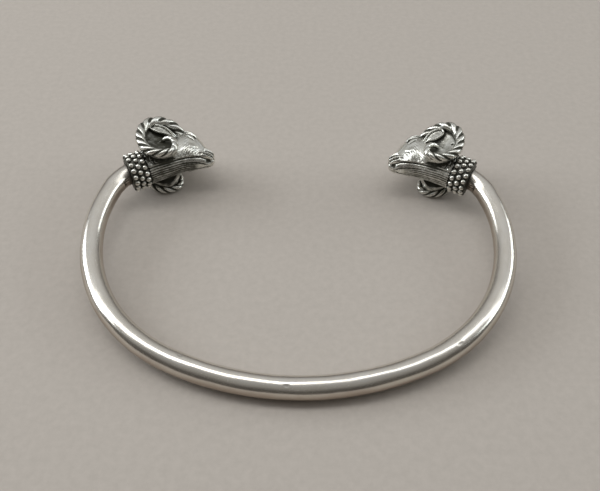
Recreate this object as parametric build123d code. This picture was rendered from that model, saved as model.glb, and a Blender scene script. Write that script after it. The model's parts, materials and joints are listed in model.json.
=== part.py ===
from build123d import *
import os
from math import sin, cos, asin, atan, radians, degrees, sqrt

# Open cuff bracelet of round silver bar with a ram's head on each end.
# Millimetres, +Z up. It lies on its side as it would on a table: the front
# of the bar and the lower horn of each head touch the ground (Z = 0).
# Everything is worked out in the plane of the bar first (x to the right,
# y away from the front of the bar, w square to that plane), for the
# right-hand end, and is mirrored, tipped and set down at the very end.

os.makedirs("parts", exist_ok=True)

# ---------------------------------------------------------------- the bar
BAR_DIAMETER = 3.44
FRONT_Y = -28.30            # centre line of the bar where it crosses x = 0
BAR_ARCS = [                # tangent arcs, from the front to the collar
    # radius, turn_deg
    (40.76, 26.0),
    (24.95, 44.1),
    (27.06, 38.1),
    (7.60, 30.6),
]
SEAM = 0.04                 # gap kept between neighbouring pieces
SPIGOT_RADIUS = 1.20        # plain pin on the bar's end, through the collar
SPIGOT_IN_HEAD = 1.20       # how far that pin goes into the neck of a head

# ------------------------------------------------------------ the collars
COLLAR_HEADING = 151.5      # direction of the collar's axis, plane of the bar
COLLAR_LENGTH = 2.90
COLLAR_BASE_RADIUS = 2.70
BEAD_ROWS = 3               # rows of beads, each one half-round ridge here
BEAD_ROW_RADIUS = 2.86      # to the centres of the beads
BEAD_RADIUS = 0.46

# -------------------------------------------------------------- the heads
# Head frame: p forward along the throat to the muzzle, q from the throat to
# the forehead, w sideways.  Its zero is on the throat beside the collar.
HEAD_ZERO = (25.20, 10.50)
HEAD_HEADING = 159.33       # direction of p in the plane of the bar
NECK_RADIUS = 2.86
HEAD_STRETCH = {            # the two castings differ a little in length
    "right": 0.975,
    "left": 1.025,
}

HEAD_SECTIONS = [           # cross-sections from behind the ears forward
    # p_low, q_low, p_top, q_top, half_width, widest (share of the height)
    (1.60, -0.90, 1.00, 5.95, 2.88, 0.48),
    (3.00, -0.80, 2.90, 6.75, 2.86, 0.46),
    (4.60, -0.72, 5.20, 7.05, 2.78, 0.45),
    (6.10, -0.74, 7.42, 7.22, 2.60, 0.47),
    (7.40, -0.84, 9.10, 6.30, 2.28, 0.49),
    (8.45, -0.96, 10.15, 4.45, 1.88, 0.48),
    (9.20, -1.02, 10.50, 2.85, 1.52, 0.46),
    (9.90, -0.96, 10.90, 1.62, 1.26, 0.46),
    (10.60, -0.60, 11.20, 0.78, 0.86, 0.50),
]

HORN_ROOT = {               # centre line of one horn of each head, from the
    # p, q, w, radius       # forehead up to the top of the loop
    "right": [
        (7.75, 5.30, 0.75, 0.60),
        (7.15, 6.15, 1.25, 0.72),
        (6.35, 7.15, 2.15, 0.82),
        (4.90, 7.95, 3.10, 0.90),
        (3.30, 8.15, 3.75, 0.92),
    ],
    "left": [
        (7.75, 5.35, 0.75, 0.68),
        (7.25, 6.25, 1.22, 0.84),
        (6.50, 7.45, 2.15, 0.92),
        (4.95, 8.20, 3.10, 0.97),
        (3.30, 8.25, 3.75, 0.95),
    ],
}
HORN_LOOP = [               # the loop, alike on both heads
    # p, q, w, radius
    (1.89, 7.60, 4.05, 0.93),
    (0.80, 6.15, 4.20, 0.91),
    (0.32, 4.46, 4.30, 0.88),
    (0.38, 2.66, 4.35, 0.83),
    (1.08, 1.05, 4.35, 0.77),
    (2.30, 0.06, 4.35, 0.70),
    (3.63, -0.24, 4.30, 0.63),
    (4.78, 0.10, 4.28, 0.59),
]
HORN_TIP = {                # the curled-in end
    # p, q, w, radius
    "right": [
        (5.20, 1.10, 4.24, 0.55),
        (5.12, 2.02, 4.14, 0.49),
        (4.74, 2.68, 3.96, 0.42),
        (4.20, 3.12, 3.66, 0.34),
        (3.62, 3.28, 3.30, 0.25),
    ],
    "left": [
        (5.28, 1.25, 4.24, 0.55),
        (5.26, 2.45, 4.10, 0.49),
        (4.90, 3.30, 3.90, 0.42),
        (4.35, 3.80, 3.62, 0.33),
        (3.70, 3.85, 3.30, 0.25),
    ],
}
HORN = {name: HORN_ROOT[name] + HORN_LOOP + HORN_TIP[name]
        for name in ("right", "left")}
HORN_SPAN = 3               # rows of HORN joined in one smooth stretch

EAR = {                     # flat leaf inside the loop of the horn
    # p, q, w, half_breadth, half_thickness
    "right": [
        (6.60, 4.45, 1.90, 0.36, 0.34),
        (6.03, 4.80, 2.65, 0.44, 0.34),
        (5.66, 5.10, 3.00, 0.72, 0.36),
        (5.19, 5.55, 3.22, 0.99, 0.36),
        (4.66, 6.05, 3.45, 1.00, 0.34),
        (4.17, 6.51, 3.60, 0.75, 0.28),
        (3.72, 6.95, 3.65, 0.30, 0.20),
    ],
    "left": [
        (6.20, 4.95, 1.90, 0.34, 0.34),
        (5.60, 5.25, 2.62, 0.40, 0.34),
        (5.10, 5.58, 3.00, 0.62, 0.36),
        (4.45, 6.02, 3.30, 0.84, 0.36),
        (3.70, 6.45, 3.55, 0.85, 0.34),
        (2.95, 6.95, 3.70, 0.64, 0.28),
        (2.30, 7.42, 3.75, 0.26, 0.20),
    ],
}

# The loop of a horn is closed by a shallow dish that joins it to the skull.
DISH_ROWS = (2, 11)         # rows of HORN that the dish's rim follows
DISH_INNER = [              # rest of the rim, inside the cheek: p, q, w
    (5.60, 1.20, 2.60),
    (6.90, 3.40, 2.10),
    (7.20, 5.60, 1.50),
]
DISH_MIDDLE = (3.60, 3.90, 2.60)
DISH_DEPTH = 1.20
DISH_DROP = 0.25            # rim below the horn's centre, share of its radius


# -------------------------------------------------------- plane and frame
def flat(x, y, w=0.0):
    """A point of the bar's plane; w is height over that plane."""
    return Vector(x, y, w)


def heading(deg):
    return Vector(cos(radians(deg)), sin(radians(deg)), 0)


P_DIR = heading(HEAD_HEADING)
Q_DIR = heading(HEAD_HEADING - 90.0)
HEAD_O = flat(*HEAD_ZERO)


def head_pt(p, q, w=0.0, stretch=1.0):
    return HEAD_O + P_DIR * (p * stretch) + Q_DIR * q + Vector(0, 0, w)


# ------------------------------------------------------------------- hoop
def bar_path():
    """Centre line of the right half of the bar, as tangent arcs."""
    pos, head = flat(0, FRONT_Y), 0.0
    edges = []
    for radius, turn in BAR_ARCS:
        centre = pos + heading(head + 90) * radius
        mid = centre - heading(head + turn / 2 + 90) * radius
        end = centre - heading(head + turn + 90) * radius
        edges.append(ThreePointArc(pos, mid, end))
        pos, head = end, head + turn
    edges.append(Line(pos, pos + heading(head) * BAR_DIAMETER / 2))
    return edges, pos, head


EDGES, BAR_END, BAR_HEADING = bar_path()
AXIS = heading(COLLAR_HEADING)


def axis_pt(s):
    """Point on the collar's axis, s from the middle of the bar's end."""
    return BAR_END + AXIS * s


def along_axis(s0, s1, radius):
    """Round pin on the collar's axis from s0 to s1."""
    return Plane(origin=axis_pt((s0 + s1) / 2), z_dir=AXIS) * \
        Cylinder(radius, s1 - s0)


def make_hoop():
    """Bar cut square to the collar, with a plain pin into the head."""
    right = Wire([e for e in EDGES])
    profile = Plane(origin=flat(0, FRONT_Y), x_dir=(0, 0, 1), z_dir=(1, 0, 0))
    half = sweep(profile * Circle(BAR_DIAMETER / 2), path=right)
    half -= along_axis(0, BAR_DIAMETER * 2, BAR_DIAMETER * 1.5)
    half += along_axis(-1.4, COLLAR_LENGTH + 2 * SEAM + SPIGOT_IN_HEAD,
                       SPIGOT_RADIUS)
    return half + mirror(half, about=Plane.YZ)


# ---------------------------------------------------------------- collars
def make_collar():
    """Sleeve on the bar's pin; each row of beads is a half-round ridge."""
    s0, s1 = SEAM, SEAM + COLLAR_LENGTH
    bore = SPIGOT_RADIUS + SEAM
    pitch = COLLAR_LENGTH / BEAD_ROWS
    # drawn with the radius along X and the axis along Z
    sk = Plane.XZ * Pos((bore + COLLAR_BASE_RADIUS) / 2, (s0 + s1) / 2) * \
        Rectangle(COLLAR_BASE_RADIUS - bore, COLLAR_LENGTH)
    for i in range(BEAD_ROWS):
        sk += Plane.XZ * Pos(BEAD_ROW_RADIUS, s0 + pitch * (i + 0.5)) * \
            Circle(BEAD_RADIUS)
    ring = revolve(sk, axis=Axis.Z)
    return Plane(origin=BAR_END, x_dir=(0, 0, 1), z_dir=AXIS) * ring


# ------------------------------------------------------------------ heads
def oval(low, top, half_width, widest):
    """Egg-shaped closed section between two points of the middle plane."""
    up = top - low
    height = up.length
    centre = low + up * widest
    pl = Plane(origin=centre, x_dir=(0, 0, 1),
               z_dir=up.normalized().cross(Vector(0, 0, -1)))
    # local x = w, local y = up
    h_up, h_dn = height * (1 - widest), height * widest
    y_dir = pl.y_dir
    sign = 1 if y_dir.dot(up) > 0 else -1
    if sign < 0:
        h_up, h_dn = h_dn, h_up
    upper = pl * EllipticalCenterArc((0, 0), half_width, h_up,
                                     start_angle=0, arc_size=180)
    lower = pl * EllipticalCenterArc((0, 0), half_width, h_dn,
                                     start_angle=180, arc_size=180)
    return Wire([*upper.edges(), *lower.edges()])


def make_skull(k):
    s = COLLAR_LENGTH + 2 * SEAM
    side = AXIS.cross(Vector(0, 0, 1))          # towards the throat
    if side.dot(Q_DIR) > 0:
        side = side * -1
    c = axis_pt(s)
    wires = [oval(c + side * NECK_RADIUS, c - side * NECK_RADIUS,
                  NECK_RADIUS, 0.5)]
    for pl, ql, pt, qt, hw, wd in HEAD_SECTIONS:
        wires.append(oval(head_pt(pl, ql, 0, k), head_pt(pt, qt, 0, k),
                          hw, wd))
    return Solid.make_loft(wires, False)


def tangents(points):
    out = []
    n = len(points)
    for i in range(n):
        a = points[max(i - 1, 0)]
        b = points[min(i + 1, n - 1)]
        out.append((b - a).normalized())
    return out


def make_horn(rows, side, k):
    pts = [head_pt(p, q, w * side, k) for p, q, w, _ in rows]
    wires = []
    up = Vector(0, 0, 1)
    for point, t, row in zip(pts, tangents(pts), rows):
        pl = Plane(origin=point, x_dir=up - t * t.dot(up), z_dir=t)
        wires.append(Wire.make_circle(row[3], pl))
    body = Part()
    for i in range(0, len(wires) - 1, HORN_SPAN):   # a few rings at a time
        body += Solid.make_loft(wires[i:i + HORN_SPAN + 1], False)
    return body + Pos(*pts[-1]) * Sphere(rows[-1][3] * 1.02)


def make_ear(rows, side, k):
    pts = [head_pt(p, q, w * side, k) for p, q, w, _, _ in rows]
    wires = []
    for point, t, row in zip(pts, tangents(pts), rows):
        x_dir = t.cross(Vector(0, 0, side))     # across the leaf
        pl = Plane(origin=point, x_dir=x_dir, z_dir=t)
        wires.append(Wire.make_ellipse(row[3], row[4], pl))
    return Solid.make_loft(wires, False)


def make_dish(side, k):
    """Shallow fan of flat facets from its middle up to the horn's line."""
    rows = HORN["right"][DISH_ROWS[0]:DISH_ROWS[1] + 1]
    rim = [(p, q, w - DISH_DROP * r) for p, q, w, r in rows] + DISH_INNER

    def level(p, q, w, drop):
        return head_pt(p, q, (w - drop) * side, k)

    top = [level(*row, 0) for row in rim]
    low = [level(*row, DISH_DEPTH) for row in rim]
    mid_top, mid_low = level(*DISH_MIDDLE, 0), level(*DISH_MIDDLE, DISH_DEPTH)
    faces = []
    for i in range(len(rim)):
        j = (i + 1) % len(rim)
        for corners in ((mid_top, top[i], top[j]), (mid_low, low[j], low[i]),
                        (top[i], low[i], low[j], top[j])):
            faces.append(Face(Wire.make_polygon(corners)))
    dish = Solid(Shell(faces))
    return dish if dish.volume > 0 else dish.fix()


def make_head(name):
    """One casting: skull, horns, dishes and ears, with a blind bore."""
    k = HEAD_STRETCH[name]
    head = Part() + make_skull(k)
    for side in (1, -1):
        head += make_dish(side, k)
        head += make_horn(HORN[name], side, k)
        head += make_ear(EAR[name], side, k)
    s = COLLAR_LENGTH + 2 * SEAM
    return head - along_axis(s, s + SPIGOT_IN_HEAD + SEAM,
                             SPIGOT_RADIUS + SEAM)


# --------------------------------------------------------------- assembly
hoop = make_hoop()
collar = make_collar()
heads = {name: make_head(name) for name in HEAD_STRETCH}


def ground_tip():
    """Angle of the ground under the bar's front and the lower horns."""
    angles = []
    for p, q, w, r in HORN_LOOP:
        run = head_pt(p, q).Y - FRONT_Y
        lean = (r - BAR_DIAMETER / 2) / sqrt(run * run + w * w)
        angles.append(degrees(atan(w / run) + asin(lean)))
    return max(angles)


TIP_DEG = ground_tip()


def lay(shape):
    return shape.rotate(Axis.X, TIP_DEG)


nodes = {
    "hoop": lay(hoop),
    "right_collar": lay(collar),
    "left_collar": lay(mirror(collar, about=Plane.YZ)),
    "right_head": lay(heads["right"]),
    "left_head": lay(mirror(heads["left"], about=Plane.YZ)),
}

whole = Compound(children=[Compound(s.solids()) for s in nodes.values()])
box = whole.bounding_box(optimal=True)
shift = Vector(-(box.min.X + box.max.X) / 2, -(box.min.Y + box.max.Y) / 2,
               -box.min.Z)

for name, shape in nodes.items():
    placed = shape.translate(shift)
    solids = placed.solids()
    out = solids[0] if len(solids) == 1 else Compound(solids)
    out.label = name
    export_step(out, f"parts/{name}.step")
    print(name, "solids", len(solids), "volume", round(out.volume, 2),
          "valid", out.is_valid)

print("ground tip", round(TIP_DEG, 3), "shift",
      [round(v, 4) for v in (shift.X, shift.Y, shift.Z)])
print("size", [round(v, 3) for v in (box.size.X, box.size.Y, box.size.Z)])
print("bar end", [round(v, 4) for v in (BAR_END.X, BAR_END.Y)],
      "heading", round(BAR_HEADING, 2))
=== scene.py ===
import json
import math
import bpy
import numpy as np
from mathutils import Vector, Matrix

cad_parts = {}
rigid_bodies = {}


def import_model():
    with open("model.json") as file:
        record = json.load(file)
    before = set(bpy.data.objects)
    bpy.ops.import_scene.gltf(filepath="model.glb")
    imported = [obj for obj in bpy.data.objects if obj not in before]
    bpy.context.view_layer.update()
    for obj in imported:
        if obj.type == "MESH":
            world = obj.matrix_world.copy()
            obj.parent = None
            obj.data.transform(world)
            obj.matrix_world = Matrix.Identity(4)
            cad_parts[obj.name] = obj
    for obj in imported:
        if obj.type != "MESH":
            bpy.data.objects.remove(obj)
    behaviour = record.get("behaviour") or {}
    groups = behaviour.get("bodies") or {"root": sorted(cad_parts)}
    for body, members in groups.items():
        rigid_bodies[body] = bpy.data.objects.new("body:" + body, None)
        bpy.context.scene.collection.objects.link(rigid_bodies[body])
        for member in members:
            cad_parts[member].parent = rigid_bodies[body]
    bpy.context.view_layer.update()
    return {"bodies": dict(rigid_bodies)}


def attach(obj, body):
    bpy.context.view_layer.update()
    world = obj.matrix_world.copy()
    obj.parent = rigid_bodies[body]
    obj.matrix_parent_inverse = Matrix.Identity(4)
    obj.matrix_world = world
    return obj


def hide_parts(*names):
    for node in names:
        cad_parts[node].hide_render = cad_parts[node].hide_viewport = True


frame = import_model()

F = np.float32
PI = math.pi

# Open silver cuff bracelet: a round bar with a beaded collar and a ram's
# head on each end.  Shapes are worked out in millimetres in the plane of the
# bar (x right, y away from the front, w square to the plane) for the right
# end, mirrored for the left, then tipped and set down as the bracelet lies.

BAR_RADIUS = 1.72
FRONT_Y = -28.30
BAR_ARCS = [(40.76, 26.0), (24.95, 44.1), (27.06, 38.1), (7.60, 30.6)]
COLLAR_HEADING = 151.5
COLLAR_LENGTH = 2.90
COLLAR_BASE_RADIUS = 2.70
BEAD_ROWS = 3
BEAD_ROW_RADIUS = 2.86
BEAD_RADIUS = 0.44
BEADS_IN_ROW = 17
SEAM = 0.04
HEAD_ZERO = (25.20, 10.50)
HEAD_HEADING = 159.33
STRETCH = {"right": 0.975, "left": 1.025}
TIP_DEG = 4.834
SHIFT = (0.0, 4.3597, 4.1205)


# ------------------------------------------------------------ small helpers
def smin(a, b, k):
    h = np.clip(0.5 + 0.5 * (b - a) / F(k), 0, 1)
    return b + (a - b) * h - F(k) * h * (1 - h)


def smax(a, b, k):
    return -smin(-a, -b, k)


def sstep(a, b, x):
    t = np.clip((x - F(a)) / F(b - a), 0, 1)
    return t * t * (3 - 2 * t)


def bump(x, w):
    return np.exp(-(x / F(w)) ** 2)


def v3(*a):
    return np.array(a, float)


def norm(v):
    return v / np.linalg.norm(v)


def heading(deg):
    return v3(math.cos(math.radians(deg)), math.sin(math.radians(deg)), 0)


def ellipsoid(P, c, r):
    d = [P[i] - F(c[i]) for i in range(3)]
    k0 = np.sqrt(sum((d[i] / F(r[i])) ** 2 for i in range(3)) + F(1e-9))
    k1 = np.sqrt(sum((d[i] / F(r[i] * r[i])) ** 2 for i in range(3)) + F(1e-9))
    return k0 * (k0 - 1) / k1


def spline(rows, n):
    """Smooth line through rows of numbers, n rows long."""
    pts = np.asarray(rows, float)
    p = np.vstack([2 * pts[0] - pts[1], pts, 2 * pts[-1] - pts[-2]])
    m = len(pts) - 1
    t = np.linspace(0, m, n)
    i = np.minimum(t.astype(int), m - 1)
    u = (t - i)[:, None]
    a, b, c, d = p[i], p[i + 1], p[i + 2], p[i + 3]
    return 0.5 * (2 * b + (c - a) * u + (2 * a - 5 * b + 4 * c - d) * u ** 2
                  + (3 * b - a - 3 * c + d) * u ** 3)


def even(rows, n):
    """The same line with its rows evenly spaced along its length."""
    s = spline(rows, 1200)
    seg = np.linalg.norm(np.diff(s[:, :3], axis=0), axis=1)
    arc = np.concatenate([[0], np.cumsum(seg)])
    want = np.linspace(0, arc[-1], n)
    return np.stack([np.interp(want, arc, s[:, k]) for k in range(s.shape[1])], 1), want


# ------------------------------------------------- from millimetres to place
P_DIR = heading(HEAD_HEADING)
Q_DIR = heading(HEAD_HEADING - 90.0)
W_DIR = v3(0, 0, 1)
HEAD_O = v3(HEAD_ZERO[0], HEAD_ZERO[1], 0)
AXIS = heading(COLLAR_HEADING)


def bar_line():
    """Points and headings of the right half of the bar, front to collar."""
    pos, head, out, run = v3(0, FRONT_Y, 0), 0.0, [], 0.0
    for radius, turn in BAR_ARCS:
        centre = pos + heading(head + 90) * radius
        n = max(6, int(radius * math.radians(turn) / 0.15))
        for k in range(n):
            a = head + turn * k / n
            out.append((centre - heading(a + 90) * radius, heading(a),
                        run + radius * math.radians(turn * k / n)))
        pos = centre - heading(head + turn + 90) * radius
        run += radius * math.radians(turn)
        head += turn
    out.append((pos, heading(head), run))
    return out, pos, head


BAR_LINE, BAR_END, BAR_HEADING = bar_line()


def place(points, side):
    """Points in the bar's plane (right end) to the resting bracelet, metres."""
    t = math.radians(TIP_DEG)
    p = np.array(points, float)
    if side == "left":
        p[:, 0] = -p[:, 0]
    y = p[:, 1] * math.cos(t) - p[:, 2] * math.sin(t) + SHIFT[1]
    z = p[:, 1] * math.sin(t) + p[:, 2] * math.cos(t) + SHIFT[2]
    return np.stack([p[:, 0] + SHIFT[0], y, z], 1) * 0.001


def head_to_plane(pqw, side):
    s = STRETCH[side]
    return HEAD_O + pqw[:, 0:1] * s * P_DIR + pqw[:, 1:2] * Q_DIR + pqw[:, 2:3] * W_DIR


# ------------------------------------------------------------------- meshes
class Shell:
    """Vertices, quads or triangles and the two painted values of a mesh."""
    def __init__(self):
        self.v, self.f, self.dark, self.own = [], [], [], []
        self.n = 0

    def add(self, v, faces, dark, own):
        faces = [np.asarray(x) for x in faces]
        self.v.append(np.asarray(v, float))
        self.f += [x + self.n for x in faces]
        self.dark.append(np.broadcast_to(np.asarray(dark, float), (len(v),)))
        self.own.append(np.asarray(own, float))
        self.n += len(v)

    def arrays(self):
        return (np.concatenate(self.v), self.f, np.concatenate(self.dark),
                np.concatenate(self.own))


def volume(v, faces):
    t = 0.0
    for x in faces:
        for k in range(1, x.shape[1] - 1):
            a, b, c = v[x[:, 0]], v[x[:, k]], v[x[:, k + 1]]
            t += (np.cross(a, b) * c).sum() / 6
    return t


def outward(v, faces):
    """Turns all faces round if the closed mesh is inside out."""
    if volume(v - v.mean(0), faces) < 0:
        faces = [x[:, ::-1] for x in faces]
    return faces


def normals_of(v, faces):
    n = np.zeros_like(v)
    for x in faces:
        if x.shape[1] == 4:
            m = np.cross(v[x[:, 2]] - v[x[:, 0]], v[x[:, 3]] - v[x[:, 1]])
        else:
            m = np.cross(v[x[:, 1]] - v[x[:, 0]], v[x[:, 2]] - v[x[:, 0]])
        for k in range(x.shape[1]):
            np.add.at(n, x[:, k], m)
    return n / np.maximum(np.linalg.norm(n, axis=1, keepdims=True), 1e-12)


def tube_faces(rows, around, cap0, cap1):
    """Quads of a closed tube of rings; caps fan to a middle point each."""
    i = np.arange(rows - 1)[:, None]
    j = np.arange(around)[None, :]
    a = i * around + j
    b = i * around + (j + 1) % around
    quads = np.stack([a, b, b + around, a + around], -1).reshape(-1, 4)
    tris = []
    j = np.arange(around)
    if cap0 is not None:
        tris.append(np.stack([np.full(around, cap0), (j + 1) % around, j], 1))
    if cap1 is not None:
        o = (rows - 1) * around
        tris.append(np.stack([np.full(around, cap1), o + j, o + (j + 1) % around], 1))
    return [quads] + ([np.concatenate(tris)] if tris else [])


def make_object(name, shell, material, node):
    v, faces, dark, own = shell.arrays()
    me = bpy.data.meshes.new(name)
    me.from_pydata(v.tolist(), [], [r for x in faces for r in x.tolist()])
    me.polygons.foreach_set("use_smooth", np.ones(len(me.polygons), bool))
    a = me.attributes.new("dark", "FLOAT", "POINT")
    a.data.foreach_set("value", dark.astype(np.float32))
    a = me.attributes.new("own", "FLOAT_VECTOR", "POINT")
    a.data.foreach_set("vector", own.astype(np.float32).ravel())
    me.materials.append(material)
    me.update()
    ob = bpy.data.objects.new(name, me)
    bpy.context.scene.collection.objects.link(ob)
    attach(ob, BODY)
    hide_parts(node)
    return ob


BODY = sorted(frame["bodies"])[0]


# ---------------------------------------------------------------- the camera
cam_data = bpy.data.cameras.new("camera")
cam = bpy.data.objects.new("camera", cam_data)
bpy.context.scene.collection.objects.link(cam)
cam.location = (0.00024, -0.07766, 0.08658)
cam.rotation_euler = (Matrix.Rotation(math.radians(90 - 46.67), 3, "X")
                      @ Matrix.Rotation(math.radians(0.85), 3, "Z")).to_euler()
cam_data.sensor_width = 36.0
cam_data.lens = 44.28
cam_data.clip_start, cam_data.clip_end = 0.005, 10
bpy.context.scene.camera = cam


# ------------------------------------------------------------ node materials
class Nodes:
    """Short names for building a material's nodes."""
    def __init__(self, name):
        self.mat = bpy.data.materials.new(name)
        self.mat.use_nodes = True
        self.t = self.mat.node_tree
        self.t.nodes.clear()
        self.out = self.t.nodes.new("ShaderNodeOutputMaterial")

    def new(self, kind, **props):
        n = self.t.nodes.new(kind)
        for k, v in props.items():
            setattr(n, k, v)
        return n

    def link(self, a, b):
        self.t.links.new(a, b)

    def put(self, socket, value):
        if isinstance(value, (int, float, tuple)):
            socket.default_value = value
        else:
            self.link(value, socket)

    def attr(self, name, out="Fac"):
        return self.new("ShaderNodeAttribute", attribute_name=name).outputs[out]

    def math(self, op, a, b=0.0, c=None, clamp=False):
        n = self.new("ShaderNodeMath", operation=op, use_clamp=clamp)
        self.put(n.inputs[0], a)
        self.put(n.inputs[1], b)
        if c is not None:
            self.put(n.inputs[2], c)
        return n.outputs[0]

    def scaled(self, vec, s):
        n = self.new("ShaderNodeVectorMath", operation="MULTIPLY")
        self.put(n.inputs[0], vec)
        n.inputs[1].default_value = s
        return n.outputs[0]

    def noise(self, vec, scale, detail=4.0, rough=0.55, distort=0.0, kind="FBM"):
        n = self.new("ShaderNodeTexNoise")
        n.noise_dimensions = "3D"
        try:
            n.noise_type = kind
        except (AttributeError, TypeError):
            pass
        self.put(n.inputs["Vector"], vec)
        n.inputs["Scale"].default_value = scale
        n.inputs["Detail"].default_value = detail
        n.inputs["Roughness"].default_value = rough
        n.inputs["Distortion"].default_value = distort
        return n.outputs[0]

    def range(self, v, a, b, c, d, smooth=False):
        n = self.new("ShaderNodeMapRange")
        n.clamp = True
        if smooth:
            n.interpolation_type = "SMOOTHSTEP"
        self.put(n.inputs["Value"], v)
        for k, x in (("From Min", a), ("From Max", b), ("To Min", c), ("To Max", d)):
            n.inputs[k].default_value = x
        return n.outputs[0]

    def mix(self, f, a, b):
        n = self.new("ShaderNodeMix", data_type="RGBA")
        self.put(n.inputs["Factor"], f)
        self.put(n.inputs["A"] if False else n.inputs[6], a)
        self.put(n.inputs[7], b)
        return n.outputs[2]

    def bump(self, height, distance, strength=1.0, normal=None):
        n = self.new("ShaderNodeBump")
        n.inputs["Strength"].default_value = strength
        n.inputs["Distance"].default_value = distance
        self.put(n.inputs["Height"], height)
        if normal is not None:
            self.link(normal, n.inputs["Normal"])
        return n.outputs[0]

    def shader(self, colour, rough, metallic, normal=None, **fixed):
        n = self.new("ShaderNodeBsdfPrincipled")
        self.put(n.inputs["Base Color"], colour)
        self.put(n.inputs["Roughness"], rough)
        self.put(n.inputs["Metallic"], metallic)
        for k, v in fixed.items():
            n.inputs[k].default_value = v
        if normal is not None:
            self.link(normal, n.inputs["Normal"])
        self.link(n.outputs[0], self.out.inputs["Surface"])
        return n


def polished_silver():
    """Bar: hand-polished silver, fine lengthwise scratches, light handling wear, and a warm darkening of
    the underside that is painted shade, partly tarnish.
    """
    m = Nodes("polished_silver")
    own = m.attr("own", "Vector")
    dark = m.attr("dark")
    cloud = m.noise(m.scaled(own, (0.16, 0.5, 0.5)), 1.0, 3, 0.6)
    streak = m.noise(m.scaled(own, (0.35, 5.0, 5.0)), 1.0, 5, 0.6)
    hair = m.noise(m.scaled(own, (1.2, 16.0, 16.0)), 1.0, 3, 0.65)
    cross = m.noise(m.scaled(own, (7.0, 1.6, 1.6)), 1.0, 4, 0.6, 0.6)
    fine = m.noise(own, 9.0, 4, 0.7)
    colour = m.mix(m.range(cloud, 0.35, 0.70, 0.0, 1.0),
                   (0.83, 0.80, 0.745, 1), (0.75, 0.71, 0.64, 1))
    # warm brown towards the underside of the bar: painted shade, partly tarnish
    low = m.new("ShaderNodeSeparateXYZ")
    m.link(own, low.inputs[0])
    low = m.math("ADD", low.outputs[1], m.range(cloud, 0.3, 0.7, -0.35, 0.35))
    low = m.range(low, 1.35, 0.0, 0.0, 0.82, True)
    colour = m.mix(low, colour, (0.40, 0.325, 0.26, 1))
    colour = m.mix(m.range(fine, 0.60, 0.78, 0.0, 0.30), colour, (0.45, 0.42, 0.37, 1))
    colour = m.mix(dark, colour, (0.10, 0.09, 0.08, 1))
    rough = m.math("ADD", m.range(streak, 0.3, 0.7, 0.13, 0.21),
                   m.range(cloud, 0.3, 0.7, 0.0, 0.07))
    rough = m.math("ADD", rough, m.range(fine, 0.62, 0.80, 0.0, 0.16))
    rough = m.math("ADD", rough, m.math("MULTIPLY", dark, 0.25))
    height = m.math("ADD", m.math("MULTIPLY", hair, 0.6), m.math("MULTIPLY", cross, 0.25))
    height = m.math("ADD", height, m.math("MULTIPLY", fine, 0.25))
    n = m.bump(height, 0.000010, 0.55)
    m.shader(colour, rough, m.range(dark, 0.5, 1.0, 1.0, 0.7), n)
    return m.mat


def cast_silver(name, base, grain, low, high):
    """Cast and chased silver, worn bright on the ridges and black in the cuts, and darkened where
    painted shade is laid in.
    """
    m = Nodes(name)
    own = m.attr("own", "Vector")
    dark = m.attr("dark")
    mott = m.noise(own, 1.1, 4, 0.6)
    fine = m.noise(own, 5.5, 5, 0.7)
    pits = m.noise(own, 14.0, 3, 0.6)
    d = m.math("ADD", dark, m.range(mott, 0.35, 0.70, -0.10, 0.16))
    d = m.math("ADD", d, m.range(fine, 0.35, 0.75, -0.06, 0.10))
    d = m.range(d, low, high, 0.0, 1.0, True)
    warm = m.mix(m.range(mott, 0.35, 0.68, 0.0, 1.0), base, (0.72, 0.71, 0.64, 1))
    tint = m.mix(m.range(fine, 0.4, 0.7, 0.0, 1.0), (0.046, 0.048, 0.038, 1), (0.090, 0.084, 0.060, 1))
    colour = m.mix(d, warm, tint)
    rough = m.math("ADD", m.range(d, 0.0, 1.0, 0.22, 0.55), m.range(fine, 0.35, 0.7, 0.0, 0.12))
    height = m.math("ADD", m.math("MULTIPLY", fine, 0.7), m.math("MULTIPLY", pits, 0.35))
    n = m.bump(height, grain, 0.6)
    m.shader(colour, rough, m.range(d, 0.3, 1.0, 1.0, 0.55), n)
    return m.mat


SILVER = polished_silver()
BEADED = cast_silver("beaded_silver", (0.84, 0.84, 0.80, 1), 0.000018, 0.20, 0.80)
OXIDISED = cast_silver("oxidised_silver", (0.83, 0.84, 0.80, 1), 0.000022, 0.12, 0.80)


# ---------------------------------------------------------------------- bar
NICKS = [
    # run (mm from the front, right +), angle over the plane (deg), depth, length, breadth
    (-1.25, 20.0, 0.050, 0.50, 0.26),
    (46.5, 75.0, 0.045, 0.35, 0.35),
    (61.0, 48.0, 0.040, 0.40, 0.28),
    (-31.0, 55.0, 0.030, 0.60, 0.22),
    (23.5, 20.0, 0.035, 0.50, 0.25),
    (-58.0, 95.0, 0.028, 0.45, 0.30),
    (12.0, 128.0, 0.030, 0.35, 0.30),
    (-16.5, -20.0, 0.030, 0.45, 0.25),
    (38.0, 160.0, 0.028, 0.50, 0.22),
    (-44.0, 150.0, 0.030, 0.40, 0.25),
]


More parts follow.
